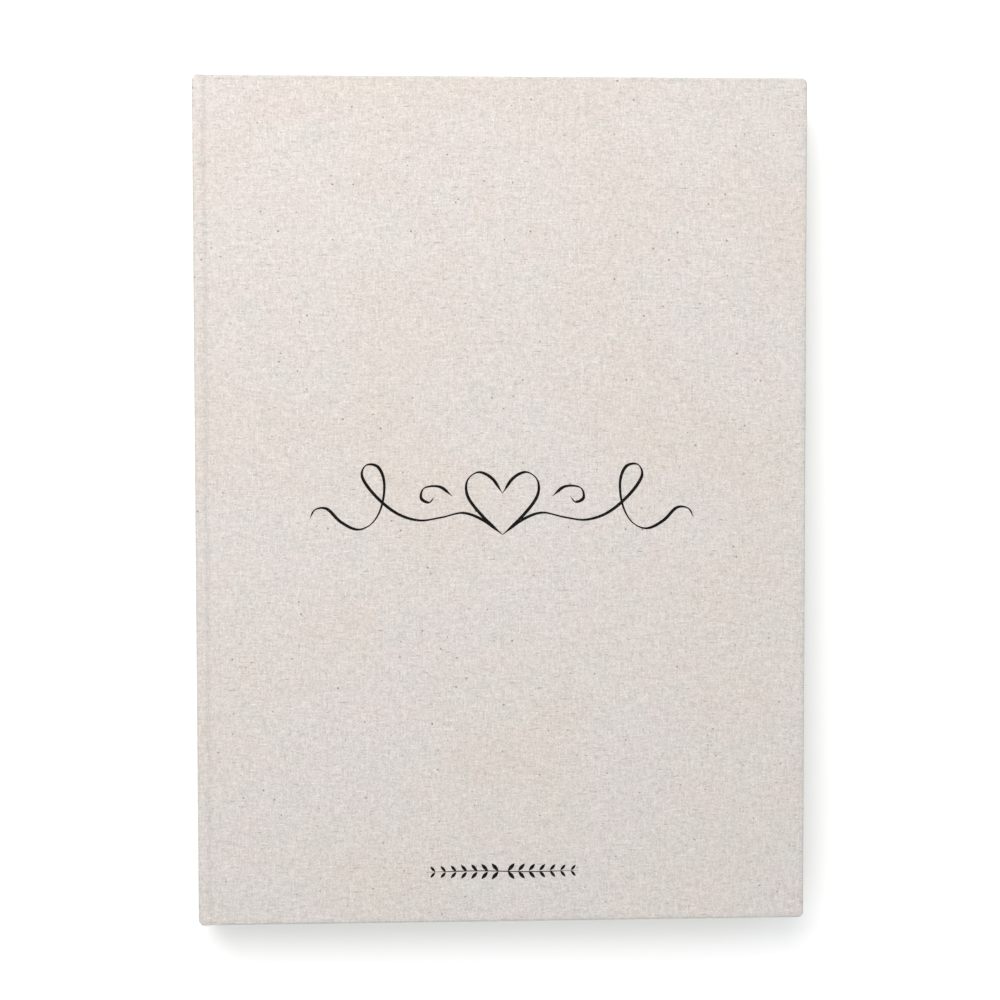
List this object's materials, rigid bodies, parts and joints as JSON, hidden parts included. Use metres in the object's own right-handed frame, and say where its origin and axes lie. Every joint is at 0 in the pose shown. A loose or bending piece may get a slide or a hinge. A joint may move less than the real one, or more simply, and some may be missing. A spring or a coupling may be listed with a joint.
{
  "type": "guest book",
  "caption": "Case-bound book with linen-covered boards, flat spine, French grooves and a sewn block of blank pages; cover and pages open flat.",
  "frame": {"origin": "middle of the footprint, on the outer face of the back cover", "axes": "+Z out of the front cover, +Y to the head of the book, +X to the fore-edge, with the spine at -X"},
  "size_m": [0.2196, 0.304, 0.019],
  "materials": {
    "cover_linen": "natural oatmeal linen book cloth, plain weave with slubs",
    "greyboard": "pressed grey board, matt",
    "cotton_tape": "woven cotton tape",
    "mull_gauze": "open starched gauze",
    "endpaper": "uncoated ivory endpaper",
    "page_paper": "uncoated off-white text paper",
    "kraft_lining": "brown kraft paper",
    "band_weave": "woven silk bead on cotton tab",
    "linen_thread": "waxed linen thread",
    "black_ink": "flat black screen ink"
  },
  "bodies": {
    "back_case": {"back_cover_cloth": "cover_linen", "back_board": "greyboard", "back_tape_end_1": "cotton_tape", "back_tape_end_2": "cotton_tape", "back_tape_end_3": "cotton_tape", "back_tape_end_4": "cotton_tape", "back_mull_flap": "mull_gauze", "back_pastedown": "endpaper", "back_flyleaf": "endpaper", "section_7": "page_paper", "section_6": "page_paper", "section_5": "page_paper", "section_4_back_half": "page_paper", "back_joint_cloth": "cover_linen", "tape_1": "cotton_tape", "tape_2": "cotton_tape", "tape_3": "cotton_tape", "tape_4": "cotton_tape", "mull": "mull_gauze", "spine_lining": "kraft_lining", "headband": "band_weave", "tailband": "band_weave", "centre_fold": "page_paper", "sewing_thread": "linen_thread"},
    "spine": {"spine_board": "greyboard", "spine_cloth": "cover_linen", "front_joint_cloth": "cover_linen"},
    "front_cover": {"front_cover_cloth": "cover_linen", "front_board": "greyboard", "front_tape_end_1": "cotton_tape", "front_tape_end_2": "cotton_tape", "front_tape_end_3": "cotton_tape", "front_tape_end_4": "cotton_tape", "front_mull_flap": "mull_gauze", "front_pastedown": "endpaper", "cover_flourish": "black_ink", "cover_rule": "black_ink"},
    "upper_pages": {"front_flyleaf": "endpaper", "section_1": "page_paper", "section_2": "page_paper", "section_3": "page_paper", "section_4_front_half": "page_paper"}
  },
  "joints": [
    {"name": "front_cover_open", "type": "hinge", "parent": "spine", "child": "front_cover", "pos_m": [-0.10698, 0, 0.01617], "axis": [0, -1, 0], "range_deg": [0, 90], "deforming": ["front_joint_cloth"]},
    {"name": "spine_fold", "type": "hinge", "parent": "back_case", "child": "spine", "pos_m": [-0.10698, 0, 0.00277], "axis": [0, -1, 0], "range_deg": [0, 90], "deforming": ["back_joint_cloth"]},
    {"name": "pages_turn", "type": "hinge", "parent": "back_case", "child": "upper_pages", "pos_m": [-0.10649, 0, 0.00947], "axis": [0, -1, 0], "range_deg": [0, 180], "deforming": ["tape_1", "tape_2", "tape_3", "tape_4", "mull", "spine_lining", "headband", "tailband", "centre_fold", "sewing_thread"]}
  ],
  "couplings": [
    {"joint": "spine_fold", "follows": "front_cover_open", "ratio": 1},
    {"joint": "pages_turn", "follows": "front_cover_open", "ratio": 2}
  ]
}
